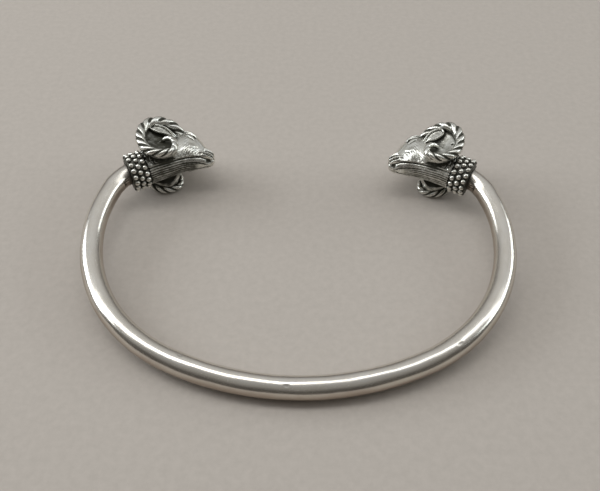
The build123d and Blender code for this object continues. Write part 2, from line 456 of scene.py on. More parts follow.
def make_bar():
    """The bar as rings along its arcs, cut flat against each collar."""
    around = 72
    half = BAR_LINE
    pts, tan, run = [], [], []
    for p, t, r in reversed(half[1:]):
        pts.append(p * v3(-1, 1, 1))
        tan.append(t * v3(1, -1, 1))
        run.append(-r)
    for p, t, r in half:
        pts.append(p)
        tan.append(t)
        run.append(r)
    pts, tan, run = np.array(pts), np.array(tan), np.array(run)
    a = np.linspace(0, 2 * PI, around, endpoint=False) - PI / 2
    side = np.cross(tan, W_DIR)                       # out of the ring
    wob = 0.012 * np.sin(run[:, None] * 0.31 + 0.8 + 2 * a) \
        + 0.009 * np.sin(run[:, None] * 0.77 + 3 * a) \
        + 0.004 * np.sin(run[:, None] * 1.9 + 1.3 + a)
    end = np.clip((np.abs(run) - (half[-1][2] - 4)) / 4, 0, 1)[:, None]
    rad = BAR_RADIUS + (wob - 0.020) * (1 - end)
    dark = np.zeros_like(rad)
    for r0, ang, deep, long, wide in NICKS:
        da = (a - math.radians(90 - ang) + PI) % (2 * PI) - PI
        e = ((run[:, None] - r0) / long) ** 2 + (da[None, :] * BAR_RADIUS / wide) ** 2
        g = np.exp(-e * 1.6)
        rad = rad - deep * g + 0.35 * deep * np.exp(-((np.sqrt(e) - 1.2) / 0.30) ** 2)
        dark = dark + 0.45 * g
    ring = pts[:, None, :] + rad[..., None] * (
        np.sin(a)[None, :, None] * W_DIR + np.cos(a)[None, :, None] * side[:, None, :])
    # slide the last rings along the bar onto the collars' faces
    for sgn in (1, -1):
        e = BAR_END * v3(sgn, 1, 1)
        ax = AXIS * v3(sgn, 1, 1)
        t_end = heading(BAR_HEADING) * v3(sgn, 1, 1)
        near = np.nonzero((run * sgn) > half[-1][2] - 2.6)[0]
        k = near if sgn > 0 else near
        for i in k:
            w = (abs(run[i]) - (half[-1][2] - 2.6)) / 2.6
            over = ((ring[i] - e) @ ax) / (t_end @ ax)
            flat = (pts[i] - e) @ ax / (t_end @ ax)
            ring[i] -= np.outer(over - flat, t_end) * w
    n = len(pts)
    c0, c1 = n * around, n * around + 1
    v = np.concatenate([ring.reshape(-1, 3), pts[:1], pts[-1:]])
    close = np.abs(np.abs(run) - half[-1][2])
    dark = np.clip(dark + 0.9 * np.exp(-close / 0.22)[:, None]
                   + 0.30 * np.exp(-close / 1.1)[:, None], 0, 1)
    dark = np.concatenate([dark.ravel(), [1, 1]])
    own = np.stack(np.broadcast_arrays(run[:, None], BAR_RADIUS * np.sin(a)[None, :],
                                       BAR_RADIUS * np.cos(a)[None, :]), -1).reshape(-1, 3)
    own = np.concatenate([own, [[run[0], 0, 0], [run[-1], 0, 0]]])
    faces = outward(v, tube_faces(n, around, c0, c1))
    s = Shell()
    s.add(place(v, "right"), faces, dark, own)
    return s


# ------------------------------------------------------------------ collars
def ball(n_lat=12, n_lon=18):
    v = [(0, 0, 1)]
    for i in range(1, n_lat):
        t = PI * i / n_lat
        for j in range(n_lon):
            u = 2 * PI * j / n_lon
            v.append((math.sin(t) * math.cos(u), math.sin(t) * math.sin(u), math.cos(t)))
    v.append((0, 0, -1))
    j = np.arange(n_lon)
    tris = [np.stack([np.zeros(n_lon, int), 1 + j, 1 + (j + 1) % n_lon], 1)]
    quads = []
    for i in range(n_lat - 2):
        o = 1 + i * n_lon
        quads.append(np.stack([o + j, o + n_lon + j, o + n_lon + (j + 1) % n_lon,
                               o + (j + 1) % n_lon], 1))
    o = 1 + (n_lat - 2) * n_lon
    tris.append(np.stack([np.full(n_lon, len(v) - 1), o + (j + 1) % n_lon, o + j], 1))
    return np.array(v), np.concatenate(quads), np.concatenate(tris)


def make_collar(side, seed):
    rng = np.random.default_rng(seed)
    s = Shell()
    nrm = np.cross(AXIS, W_DIR)
    e = BAR_END

    def world(ax, y, z):
        return e + np.outer(ax, AXIS) + np.outer(y, nrm) + np.outer(z, W_DIR)

    # the drum behind the beads
    prof = [(SEAM, 2.45), (SEAM + 0.03, 2.58), (SEAM + 0.12, 2.66)]
    for i in range(BEAD_ROWS + 1):
        x = SEAM + COLLAR_LENGTH * i / BEAD_ROWS
        x = min(max(x, SEAM + 0.2), SEAM + COLLAR_LENGTH - 0.2)
        prof += [(x - 0.05, COLLAR_BASE_RADIUS), (x + 0.05, COLLAR_BASE_RADIUS)]
    prof += [(SEAM + COLLAR_LENGTH - 0.10, 2.68), (SEAM + COLLAR_LENGTH - 0.02, 2.60),
             (SEAM + COLLAR_LENGTH, 2.48)]
    prof = sorted(set(prof))
    around = 96
    a = np.linspace(0, 2 * PI, around, endpoint=False)
    ax = np.repeat([p[0] for p in prof], around)
    rr = np.repeat([p[1] for p in prof], around)
    aa = np.tile(a, len(prof))
    v = world(ax, rr * np.cos(aa), rr * np.sin(aa))
    v = np.concatenate([v, world(np.array([prof[0][0], prof[-1][0]]), np.zeros(2), np.zeros(2))])
    n = len(prof)
    faces = tube_faces(n, around, n * around, n * around + 1)
    own = np.stack([np.append(ax, [0, 0]), np.append(rr * np.cos(aa), [0, 0]),
                    np.append(rr * np.sin(aa), [0, 0])], 1)
    w = place(v, side)
    s.add(w, outward(w, faces), 0.72, own + 3.0)
    # the beads
    bv, bq, bt = ball()
    for row in range(BEAD_ROWS):
        for k in range(BEADS_IN_ROW):
            t = 2 * PI * (k + 0.5 * (row % 2) + 0.25) / BEADS_IN_ROW + rng.normal(0, 0.012)
            x = SEAM + COLLAR_LENGTH * (row + 0.5) / BEAD_ROWS + rng.normal(0, 0.018)
            r = BEAD_RADIUS * (1 + rng.normal(0, 0.025))
            d = min(BEAD_ROW_RADIUS + rng.normal(0, 0.014), 3.315 - r)
            sq = np.array([1 + rng.normal(0, 0.03), 1 + rng.normal(0, 0.03), 1.0])
            p = bv * r * sq
            y = d * math.cos(t) + p[:, 2] * math.cos(t) - p[:, 1] * math.sin(t)
            z = d * math.sin(t) + p[:, 2] * math.sin(t) + p[:, 1] * math.cos(t)
            xx = x + p[:, 0]
            deep = np.hypot(y, z)
            # darker towards the drum: patina between the beads and painted shade on their sides; only
            # the outer tops stay bright
            dark = 1 - np.clip((deep - 2.84) / 0.40, 0, 1)
            v = world(xx, y, z)
            w = place(v, side)
            s.add(w, outward(w, [bq, bt]), dark, np.stack([xx, y, z], 1) + row * 1.7)
    return s


# -------------------------------------------------------------------- heads
# Head frame: p forward along the throat, q from throat to forehead, w out to
# the side; a head is the same on both sides of w = 0.
SECTIONS = [
    # p_low, q_low, p_top, q_top, half_width, widest
    (0.405, -1.036, -0.375, 4.63, 2.86, 0.50),
    (1.60, -0.90, 1.00, 5.95, 2.88, 0.48),
    (3.00, -0.80, 2.90, 6.75, 2.86, 0.46),
    (4.60, -0.72, 5.20, 7.05, 2.78, 0.45),
    (6.10, -0.74, 7.42, 7.22, 2.60, 0.47),
    (7.40, -0.84, 9.10, 6.30, 2.28, 0.49),
    (8.45, -0.96, 10.15, 4.45, 1.88, 0.48),
    (9.20, -1.02, 10.50, 2.85, 1.52, 0.46),
    (9.90, -0.96, 10.90, 1.62, 1.26, 0.46),
    (10.60, -0.60, 11.20, 0.78, 0.86, 0.50),
]
HORN_ROOT = {
    # p, q, w, radius
    "right": [(7.75, 5.30, 0.75, 0.60), (7.15, 6.15, 1.25, 0.72), (6.35, 7.15, 2.15, 0.82),
              (4.90, 7.95, 3.10, 0.90), (3.30, 8.15, 3.75, 0.92)],
    "left": [(7.75, 5.35, 0.75, 0.68), (7.25, 6.25, 1.22, 0.84), (6.50, 7.45, 2.15, 0.92),
             (4.95, 8.20, 3.10, 0.97), (3.30, 8.25, 3.75, 0.95)],
}
HORN_LOOP = [
    (1.89, 7.60, 4.05, 0.93), (0.80, 6.15, 4.20, 0.91), (0.32, 4.46, 4.30, 0.88),
    (0.38, 2.66, 4.35, 0.83), (1.08, 1.05, 4.35, 0.77), (2.30, 0.06, 4.35, 0.70),
    (3.63, -0.24, 4.30, 0.63), (4.78, 0.10, 4.28, 0.59),
]
HORN_TIP = {
    "right": [(5.20, 1.10, 4.24, 0.55), (5.12, 2.02, 4.14, 0.49), (4.74, 2.68, 3.96, 0.42),
              (4.20, 3.12, 3.66, 0.34), (3.62, 3.28, 3.30, 0.25)],
    "left": [(5.28, 1.25, 4.24, 0.55), (5.26, 2.45, 4.10, 0.49), (4.90, 3.30, 3.90, 0.42),
             (4.35, 3.80, 3.62, 0.33), (3.70, 3.85, 3.30, 0.25)],
}
HORN = {k: HORN_ROOT[k] + HORN_LOOP + HORN_TIP[k] for k in ("right", "left")}
EAR = {
    # p, q, w, half_breadth, half_thickness
    "right": [(6.60, 4.45, 1.90, 0.36, 0.34), (6.03, 4.80, 2.65, 0.44, 0.34),
              (5.66, 5.10, 3.00, 0.72, 0.36), (5.19, 5.55, 3.22, 0.99, 0.36),
              (4.66, 6.05, 3.45, 1.00, 0.34), (4.17, 6.51, 3.60, 0.75, 0.28),
              (3.72, 6.95, 3.65, 0.30, 0.20)],
    "left": [(6.20, 4.95, 1.90, 0.34, 0.34), (5.60, 5.25, 2.62, 0.40, 0.34),
             (5.10, 5.58, 3.00, 0.62, 0.36), (4.45, 6.02, 3.30, 0.84, 0.36),
             (3.70, 6.45, 3.55, 0.85, 0.34), (2.95, 6.95, 3.70, 0.64, 0.28),
             (2.30, 7.42, 3.75, 0.26, 0.20)],
}
EAR_BREADTH = {"right": 1.02, "left": 0.86}
STRANDS = 3                 # ribs side by side round a horn
HORN_LAY = (43.0, 47.0)     # angle of the ribs to the horn's line, root and tip
HORN_HAND = -1.0
DISH_ROWS = (2, 11)         # rows of HORN that the rim of the dish follows
DISH_INNER = [(5.60, 1.20, 2.60), (6.90, 3.40, 2.10), (7.20, 5.60, 1.50)]
DISH_MIDDLE = (3.60, 3.90, 2.60)
DISH_DEPTH = 1.20
DISH_DROP = 0.25
DISH_PATINA_AND_SHADE = {"right": 0.34, "left": 0.74}     # darkening in the dish: patina, and painted shade that is deeper on the left head
THROAT_SHADE = {"right": 0.10, "left": 0.28}    # painted shade along the throat, deeper on the left head
# the lower jaw of each head: p, spread, how far it is moved in q
JAW = {"right": (9.2, 2.4, -0.36), "left": (6.0, 2.2, 0.30)}
NECK_AT = (BAR_END + AXIS * (SEAM + COLLAR_LENGTH + SEAM) - HEAD_O)
NECK_C = (NECK_AT @ P_DIR, NECK_AT @ Q_DIR)
NECK_AX = (AXIS @ P_DIR, AXIS @ Q_DIR)

# angle round the throat (0 under, 180 on top) at which the mouth line runs
MOUTH = ([0.0, 2.0, 3.6, 5.0, 6.0, 7.2, 8.2, 9.0, 9.6, 10.1, 10.6, 11.2],
         [38, 38, 37, 36, 36, 39, 43, 48, 47, 42, 37, 35])
# raised (+) and cut (-) lines on the side of the face
LINES = [
    # height, half width, shown above this w, points (p, q)
    (0.20, 0.17, 0.15, [(11.15, 0.45), (10.88, 0.88), (10.55, 1.20), (10.20, 1.38)]),
    (0.20, 0.17, 0.15, [(10.98, -0.08), (10.62, 0.12), (10.18, 0.36), (9.70, 0.54),
                        (9.00, 0.62)]),
    (0.26, 0.20, 0.10, [(10.70, -0.48), (10.28, -0.40), (9.85, -0.18), (9.35, 0.06)]),
    (-0.22, 0.13, 0.2, [(11.10, 0.12), (10.72, 0.50), (10.35, 0.76), (9.95, 0.92)]),
    (-0.24, 0.12, 0.2, [(10.85, -0.30), (10.40, -0.10), (9.98, 0.10), (9.55, 0.30)]),
    (-0.26, 0.14, 0.5, [(9.12, 3.95), (8.96, 4.62), (8.62, 5.18), (8.20, 5.62), (7.80, 5.90)]),
    (-0.20, 0.12, 0.5, [(8.66, 3.48), (8.38, 3.84), (8.10, 4.26), (7.86, 4.78)]),
    (-0.08, 0.09, 0.5, [(7.62, 5.75), (7.28, 5.20), (7.02, 4.50)]),
    (-0.08, 0.09, 0.5, [(7.30, 6.00), (6.95, 5.35), (6.70, 4.60)]),
    (-0.10, 0.12, 0.5, [(8.78, 1.65), (8.20, 1.52), (7.60, 1.78)]),
    (0.08, 0.22, 0.4, [(9.90, 1.75), (9.60, 2.80), (9.28, 3.90)]),
]
# the end of a horn runs out into the dish: p, q, w, radius
CURL_END = {
    "right": [(5.05, 2.20, 3.95, 0.34), (4.72, 2.70, 3.78, 0.34), (4.20, 3.12, 3.50, 0.32),
              (3.60, 3.36, 3.05, 0.26), (3.00, 3.50, 2.62, 0.14)],
    "left": [(5.20, 2.55, 3.95, 0.34), (4.88, 3.32, 3.72, 0.34), (4.34, 3.80, 3.45, 0.32),
             (3.68, 3.98, 3.05, 0.26), (3.00, 4.05, 2.62, 0.14)],
}
# rounded ridges laid on the face: brow, then the eye
RIDGES = [
    # points (p, q, w, radius)
    [(9.46, 4.10, 1.62, 0.08), (9.36, 4.66, 1.60, 0.17), (9.12, 5.32, 1.56, 0.21),
     (8.76, 5.90, 1.54, 0.23), (8.18, 6.28, 1.56, 0.21), (7.60, 6.40, 1.66, 0.10)],
    [(8.76, 3.80, 2.02, 0.09), (8.60, 4.24, 2.02, 0.20), (8.34, 4.66, 1.98, 0.25),
     (8.12, 5.04, 1.90, 0.20), (7.95, 5.40, 1.80, 0.09)],
]


def skull_maps(P, Q):
    """Section coordinates of points of the middle plane of the head."""
    S = spline(SECTIONS, 90)
    lo, to = S[:, 0:2], S[:, 2:4]
    d = to - lo
    L = np.linalg.norm(d, axis=1)
    d /= L[:, None]
    n = np.stack([d[:, 1], -d[:, 0]], 1)
    p, q = P.ravel(), Q.ravel()
    s = (p[:, None] - lo[None, :, 0]) * n[None, :, 0] + \
        (q[:, None] - lo[None, :, 1]) * n[None, :, 1]
    m = len(S)
    neg = s < 0
    first = np.where(neg.any(1), neg.argmax(1), m)
    i = np.clip(first - 1, 0, m - 2)
    r = np.arange(len(p))
    s0, s1 = s[r, i], s[r, i + 1]
    u = np.clip(np.where(s0 != s1, s0 / np.where(s0 != s1, s0 - s1, 1), 0), 0, 1)
    ex = np.maximum(s[:, -1], -s[:, 0])

    def at(col):
        return col[i] * (1 - u) + col[i + 1] * u
    h = (p - at(lo[:, 0])) * at(d[:, 0]) + (q - at(lo[:, 1])) * at(d[:, 1])
    LL, wd, hw = at(L), at(S[:, 5]), at(S[:, 4])
    y = h - wd * LL
    b = np.where(y > 0, (1 - wd) * LL, wd * LL)
    return [x.reshape(P.shape).astype(F) for x in (hw, b, y, ex)]


class Skull:
    """Section coordinates, looked up on a fine grid of the middle plane."""
    def __init__(self, lo=(-1.2, -2.2), hi=(12.4, 10.2), h=0.04):
        self.lo, self.h = lo, h
        P, Q = np.meshgrid(np.arange(lo[0], hi[0], h), np.arange(lo[1], hi[1], h),
                           indexing="ij")
        self.maps = skull_maps(P, Q)
        self.n = P.shape

    def __call__(self, p, q):
        if p.ndim == 3:
            r = self(p[:, :, 0].ravel(), q[:, :, 0].ravel())
            return [np.broadcast_to(m.reshape(p.shape[:2] + (1,)), p.shape) for m in r]
        x = np.clip((p - self.lo[0]) / self.h, 0, self.n[0] - 1.001)
        y = np.clip((q - self.lo[1]) / self.h, 0, self.n[1] - 1.001)
        i, j = x.astype(int), y.astype(int)
        u, v = (x - i).astype(F), (y - j).astype(F)
        return [m[i, j] * (1 - u) * (1 - v) + m[i + 1, j] * u * (1 - v)
                + m[i, j + 1] * (1 - u) * v + m[i + 1, j + 1] * u * v for m in self.maps]


SKULL = Skull()


def in_plane(fn, p, q):
    """fn(p, q) worked out once for each p, q of a grid."""
    if p.ndim == 3:
        r = fn(p[:, :, 0], q[:, :, 0])
        if isinstance(r, tuple):
            return tuple(np.broadcast_to(x[..., None], p.shape) for x in r)
        return np.broadcast_to(r[..., None], p.shape)
    return fn(p, q)


def stroke(P, Q, rows, n=20):
    """Distance in the side view to a smooth line through rows (p, q)."""
    s = spline(rows, n)
    out = None
    for i in range(len(s) - 1):
        ax, ay = s[i]
        bx, by = s[i + 1] - s[i]
        dx, dy = P - F(ax), Q - F(ay)
        h = np.clip((dx * F(bx) + dy * F(by)) / F(bx * bx + by * by), 0, 1)
        e = (dx - h * F(bx)) ** 2 + (dy - h * F(by)) ** 2
        out = e if out is None else np.minimum(out, e)
    return np.sqrt(out)


def near(P, lo, hi, fn):
    """fn on the points of P between two corners, and 3 mm elsewhere."""
    out = np.full(P[0].shape, F(3.0))
    if P[0].ndim == 3:
        axes = (P[0][:, 0, 0], P[1][0, :, 0], P[2][0, 0, :])
        pick = tuple(slice(*np.searchsorted(axes[k], (lo[k], hi[k]))) for k in range(3))
    else:
        pick = np.nonzero((P[0] > lo[0]) & (P[0] < hi[0]) & (P[1] > lo[1]) & (P[1] < hi[1])
                          & (P[2] > lo[2]) & (P[2] < hi[2]))[0]
    X = [P[k][pick] for k in range(3)]
    if X[0].size:
        out[pick] = fn(X)
    return out


def ridge(X, rows, n=14):
    """Distance to a rounded line through rows (p, q, w, radius)."""
    s = spline(rows, n)
    out = None
    for i in range(n - 1):
        d = [X[k] - F(s[i, k]) for k in range(3)]
        ba = s[i + 1, :3] - s[i, :3]
        t = np.clip(sum(d[k] * F(ba[k]) for k in range(3)) / F(ba @ ba), 0, 1)
        e = np.sqrt(sum((d[k] - F(ba[k]) * t) ** 2 for k in range(3))) \
            - (F(s[i, 3]) + F(s[i + 1, 3] - s[i, 3]) * t)
        out = e if out is None else np.minimum(out, e)
    return out


def dish_rim():
    """Rim of the dish round its middle: angle, distance and height."""
    rows = [(p, q, w - DISH_DROP * r)
            for p, q, w, r in HORN["right"][DISH_ROWS[0]:DISH_ROWS[1] + 1]]
    rows = np.array(rows + DISH_INNER)
    m = len(rows)
    s = spline(np.vstack([rows, rows, rows]), (3 * m - 1) * 12 + 1)[m * 12:2 * m * 12]
    d = s[:, :2] - np.array(DISH_MIDDLE[:2])
    ang = np.arctan2(d[:, 1], d[:, 0])
    k = np.argsort(ang)
    return ang[k], np.hypot(d[:, 0], d[:, 1])[k], s[k, 2]


DISH_RIM = dish_rim()


def dish_field(p, q, z):
    def fan(p, q):
        dp, dq = p - F(DISH_MIDDLE[0]), q - F(DISH_MIDDLE[1])
        rho = np.hypot(dp, dq)
        ang = np.arctan2(dq, dp)
        reach = np.interp(ang, DISH_RIM[0], DISH_RIM[1], period=2 * PI)
        high = np.interp(ang, DISH_RIM[0], DISH_RIM[2], period=2 * PI)
        t = np.clip(rho / reach, 0, 1.1)
        return ((DISH_MIDDLE[2] + (high - DISH_MIDDLE[2]) * t ** 1.6).astype(F),
                (rho - reach).astype(F))
    level, side = in_plane(fan, p, q)
    slab = np.maximum((z - level) * F(0.85), (level - F(DISH_DEPTH) - z) * F(0.85))
    return smax(slab, side, 0.15), level, side


def skull_field(P, head):
    """Signed size (mm) and 0..1 darkness of the head without horns: depth of carving, and painted shade
    on the back of the dish.
    """
    p, q, z = P
    z = np.abs(z)
    P = [p, q, z]
    a, b, y, ex = SKULL(p, q)
    k0 = np.sqrt((z / a) ** 2 + (y / b) ** 2 + F(1e-6))
    k1 = np.sqrt((z / a ** 2) ** 2 + (y / b ** 2) ** 2 + F(1e-6))
    f = k0 * (k0 - 1) / k1
    f = smax(f, ex, 0.25)
    th = np.degrees(np.arctan2(z / a, -y / b))
    R = 0.5 * (a + b)
    f = smin(f, ellipsoid(P, (10.15, 0.45, 0), (1.10, 1.05, 1.16)), 0.35)
    f = smin(f, ellipsoid(P, (10.20, -0.62, 0), (0.78, 0.46, 0.72)), 0.22)
    f = smin(f, ellipsoid(P, (7.35, 1.75, 0.95), (1.55, 1.95, 1.62)), 0.35)
    f = smin(f, ellipsoid(P, (8.00, 3.75, 0.45), (1.50, 1.80, 1.82)), 0.40)
    f = smin(f, ellipsoid(P, (8.50, 5.25, 0.90), (0.98, 1.00, 0.80)), 0.30)
    cav = np.zeros(f.shape, F)
    disp = np.zeros(f.shape, F)
    for amp, w, z0, pts in LINES:
        g = in_plane(lambda P, Q: bump(stroke(P, Q, pts), w), p, q) \
            * sstep(z0 - 0.15, z0 + 0.15, z)
        disp += F(amp) * g
        cav += F(-amp * 3.4) * g
    # the loop's dish closes on the skull before the wool is cut
    dish, level, side = dish_field(p, q, z)
    f = smin(f, dish, 0.30)
    on_dish = sstep(-0.62, -0.30, z - level) * sstep(0.42, 0.10, side)
    on_slab = sstep(-1.55, -1.25, z - level) * sstep(0.50, 0.20, side)
    # painted shade on the underside of the dish
    under = sstep(-0.75, -1.0, z - level) * sstep(0.5, -0.9, side)
    tail = near(P, (2.2, 1.2, 2.2), (5.8, 4.6, 4.7), lambda X: ridge(X, CURL_END[head], 10))
    f = smin(f, tail, 0.45)
    # mouth, the light band of the jaw, and the long grooves of the throat
    tm = np.interp(p, *MOUTH).astype(F)
    arc = (tm - th) * F(PI / 180) * R
    front = sstep(9.4, 10.2, p)
    mouth = bump(arc, 0.12) * (0.6 + 0.4 * sstep(4.0, 6.0, p)) * (1 - 0.6 * front)
    disp -= F(0.24) * mouth
    cav += mouth * F(1.1)
    gape = in_plane(lambda P, Q: bump(np.hypot((P - 10.02) * 0.85, (Q + 0.66) * 1.25), 0.36), p, q) \
        * sstep(0.15, 0.45, z)
    disp -= F(0.44) * gape
    cav += gape * F(1.5)
    first = F(0.88) + F(0.12) * sstep(5.5, 7.5, p)
    pitch = F(0.43)
    u = (arc - first) / pitch
    comb = 1 - np.abs(np.sin(u * F(PI)))
    zone = sstep(-0.04, 0.08, arc - F(0.22)) * (1 - sstep(9.7, 10.2, p)) \
        * (1 - sstep(-0.45, -0.55, u) * sstep(5.8, 6.8, p))
    zone = zone * (1 - sstep(6.8, 8.3, p) * sstep(0.3, 1.2, u))
    disp -= F(0.13) * comb ** 1.5 * zone
    cav += comb ** 1.4 * zone * F(0.9) + F(0.20) * sstep(0.6, 1.2, arc) * sstep(9.6, 7.0, p)
    notch = (0.5 + 0.5 * np.cos(p * F(2 * PI / 0.66) + 0.6 * np.sin(p * F(2.3)))) ** 1.5
    wide = sstep(5.0, 6.4, p) * (1 - sstep(9.2, 9.6, p))
    teeth = bump(arc - first, 0.15) * (0.35 + 0.65 * notch) * wide
    disp -= F(0.03) * teeth
    cav += teeth * F(1.2)
    pit = in_plane(lambda P, Q: bump(np.hypot(P - 1.55, Q - 4.85), 0.17), p, q) * sstep(2.0, 2.4, z)
    disp -= F(0.22) * pit
    # fringe of locks over the mouth line
    lock = 0.5 + 0.5 * np.cos(p * F(2 * PI / 0.62) + 0.9)
    fringe = bump(arc + F(0.34), 0.17) * lock * sstep(5.2, 6.0, p) * (1 - sstep(8.0, 8.6, p)) \
        * (1 - on_slab)
    disp += F(0.05) * fringe
    cav -= F(0.5) * fringe
    # hair cut into the cheek, short slanting strokes that fan a little
    def strokes(P, Q):
        s = 0.707 * (Q - P) + 0.06 * (Q - 2.0) * (P - 7.0)
        t = 0.707 * (P + Q)
        row = np.floor(s / 0.40)
        away = np.abs(s / 0.40 - row - 0.5)
        wave = 0.5 + 0.5 * np.cos(2 * PI * (t / 2.00 + row * 0.381))
        return np.exp(-((0.5 - away) / 0.19) ** 2) * (0.75 + 0.25 * wave) + 0.25 * wave ** 5
    hair = in_plane(strokes, p, q)
    cheek = in_plane(lambda P, Q: sstep(5.3, 5.9, P) * (1 - sstep(8.4, 9.0, P))
                     * sstep(0.0, 0.5, Q) * (1 - sstep(4.2, 4.7, Q))
                     * (1 - 0.92 * sstep(7.1, 8.0, P) * sstep(1.2, 2.2, Q)), p, q) * (1 - on_slab)
    disp -= F(0.12) * hair * cheek
    cav += F(0.36) * hair * cheek
    # curling locks on the neck, the crown and the nape
    va = (180 - th) * F(PI / 180) * R
    wool = (1 - sstep(5.3, 6.0, p + F(0.25) * np.sin(q * F(2.1)))) * (1 - sstep(-0.5, -0.15, arc)) \
        * (1 - F(0.35) * sstep(-1.9, -1.2, arc)) * (1 - on_slab)
    crown = sstep(5.3, 6.0, p) * sstep(4.3, 4.9, q) * (1 - sstep(7.5, 8.0, p)) * sstep(1.3, 0.8, z)
    wool = np.maximum(wool, crown)
    vp = va * F(1 / 1.05)
    row = np.floor(vp)
    flip = 1 - 2 * np.mod(row, 2)
    cu = p * F(1 / 1.30) + 0.5 * np.mod(row, 2)
    du = (cu - np.floor(cu) - 0.5) * F(1.30)
    dv = (vp - row - 0.5) * F(1.05)
    rho = np.sqrt(du ** 2 + dv ** 2)
    phi = np.arctan2(dv * flip, du)
    curl = 0.5 + 0.5 * np.cos(phi - rho * F(2 * PI / 0.42))
    rim = sstep(0.42, 0.60, rho)
    disp += wool * (F(0.04) - F(0.13) * curl ** 1.5 - F(0.10) * rim)
    cav += wool * np.clip(0.8 * curl ** 1.5 + 0.45 * rim, 0, 1)
    cav = cav * (1 - on_dish) + under + F(1.2) * pit
    f = f - disp
    # brow and eye
    for rows in RIDGES:
        r = np.array(rows)
        d = near(P, r[:, :3].min(0) - 0.6, r[:, :3].max(0) + 0.6, lambda X: ridge(X, rows))
        cav = cav * (1 - sstep(0.10, 0.0, d))
        f = smin(f, d, 0.12)
    f = np.maximum(f, -((p - F(NECK_C[0])) * F(NECK_AX[0]) + (q - F(NECK_C[1])) * F(NECK_AX[1])))
    return f, np.clip(cav, 0, 1)


def near_line(P, org, h, rows, n):
    """Distance to a tapering round line on a grid, only near the line."""
    s = spline(rows, n)
    out = np.full(P[0].shape, F(3.0))
    for i in range(n - 1):
        lo = np.minimum(s[i, :3], s[i + 1, :3]) - s[i, 3] - 1.2
        hi = np.maximum(s[i, :3], s[i + 1, :3]) + s[i, 3] + 1.2
        sl = tuple(slice(max(int((lo[k] - org[k]) / h), 0),
                         max(int((hi[k] - org[k]) / h) + 2, 0)) for k in range(3))
        if not P[0][sl].size:
            continue
        X = [P[k][sl] - F(s[i, k]) for k in range(3)]
        ba = s[i + 1, :3] - s[i, :3]
        t = np.clip(sum(X[k] * F(ba[k]) for k in range(3)) / F(ba @ ba), 0, 1)
        d = np.sqrt(sum((X[k] - F(ba[k]) * t) ** 2 for k in range(3))) \
            - (F(s[i, 3]) + F(s[i + 1, 3] - s[i, 3]) * t)
        out[sl] = np.minimum(out[sl], d)
    return out


def surface_nets(f, origin, h):
    """Closed quad mesh of f < 0 on a regular grid, one vertex a crossed cell."""
    s = f < 0
    nx, ny, nz = f.shape
    corner = [(i, j, k) for i in (0, 1) for j in (0, 1) for k in (0, 1)]
    cnt = np.zeros((nx - 1, ny - 1, nz - 1), np.uint8)
    for i, j, k in corner:
        cnt += s[i:nx - 1 + i, j:ny - 1 + j, k:nz - 1 + k]
    mask = (cnt > 0) & (cnt < 8)
    cells = np.argwhere(mask)
    index = np.full(mask.shape, -1, np.int32)
    index[mask] = np.arange(len(cells), dtype=np.int32)
    vals = {c: f[cells[:, 0] + c[0], cells[:, 1] + c[1], cells[:, 2] + c[2]]
            for c in corner}
    acc = np.zeros((len(cells), 3))
    num = np.zeros(len(cells))
    for a in corner:
        for ax in range(3):
            if a[ax]:
                continue
            b = list(a)
            b[ax] = 1
            va, vb = vals[a], vals[tuple(b)]
            cr = (va < 0) != (vb < 0)
            t = np.where(cr, va / np.where(va == vb, 1, va - vb), 0)
            pt = np.tile(np.array(a, float), (len(cells), 1))
            pt[:, ax] += t
            acc[cr] += pt[cr]
            num += cr
    verts = origin + h * (cells + acc / num[:, None])
    quads = []
    for ax in range(3):
        u, v = [(1, 2), (2, 0), (0, 1)][ax]
        sl0, sl1 = [slice(None)] * 3, [slice(None)] * 3
        sl0[ax], sl1[ax] = slice(0, -1), slice(1, None)
        a, b = s[tuple(sl0)], s[tuple(sl1)]
        e = np.argwhere(a != b)
        lim = np.array([nx - 1, ny - 1, nz - 1])
        e = e[(e[:, u] > 0) & (e[:, v] > 0) & (e[:, u] < lim[u]) & (e[:, v] < lim[v])]
        inside = a[tuple(e.T)]

        def at(du, dv):
            c = e.copy()
            c[:, u] += du
            c[:, v] += dv
            return index[tuple(c.T)]
        q = np.stack([at(-1, -1), at(0, -1), at(0, 0), at(-1, 0)], 1)
        q[~inside] = q[~inside][:, ::-1]
        quads.append(q)
    return verts, np.concatenate(quads)


def columns(v):
    return [v[:, k].astype(F) for k in range(3)]


def slope(v, head, eps=0.012):
    d = skull_field(columns(v), head)[0]
    g = np.empty_like(v)
    for i in range(3):
        o = np.zeros(3)
        o[i] = eps
        g[:, i] = (skull_field(columns(v + o), head)[0]
                   - skull_field(columns(v - o), head)[0]) / (2 * eps)
    return d, g


class Near:
    """How closed in a point is, from the distance grid of the whole head."""
    def __init__(self, grid, org, h):
        self.g, self.o, self.h = grid, org, h

    def at(self, v):
        x = (v - self.o) / self.h
        x[:, 2] = (np.abs(v[:, 2]) - self.o[2]) / self.h
        out = np.full(len(v), 3.0)
        ok = np.all((x >= 0) & (x < np.array(self.g.shape) - 1.001), axis=1)
        i = x[ok].astype(int)
        u = x[ok] - i
        r = 0
        for a in (0, 1):
            for b in (0, 1):
                for c in (0, 1):
                    w = (u[:, 0] if a else 1 - u[:, 0]) * (u[:, 1] if b else 1 - u[:, 1]) \
                        * (u[:, 2] if c else 1 - u[:, 2])
                    r = r + w * self.g[i[:, 0] + a, i[:, 1] + b, i[:, 2] + c]
        out[ok] = r
        return out

    def closed(self, v, n):
        t = 0
        for d, w in ((0.30, 0.30), (0.60, 0.35), (1.10, 0.35)):
            t = t + w * np.clip(1 - self.at(v + n * d) / d, 0, 1)
        return t


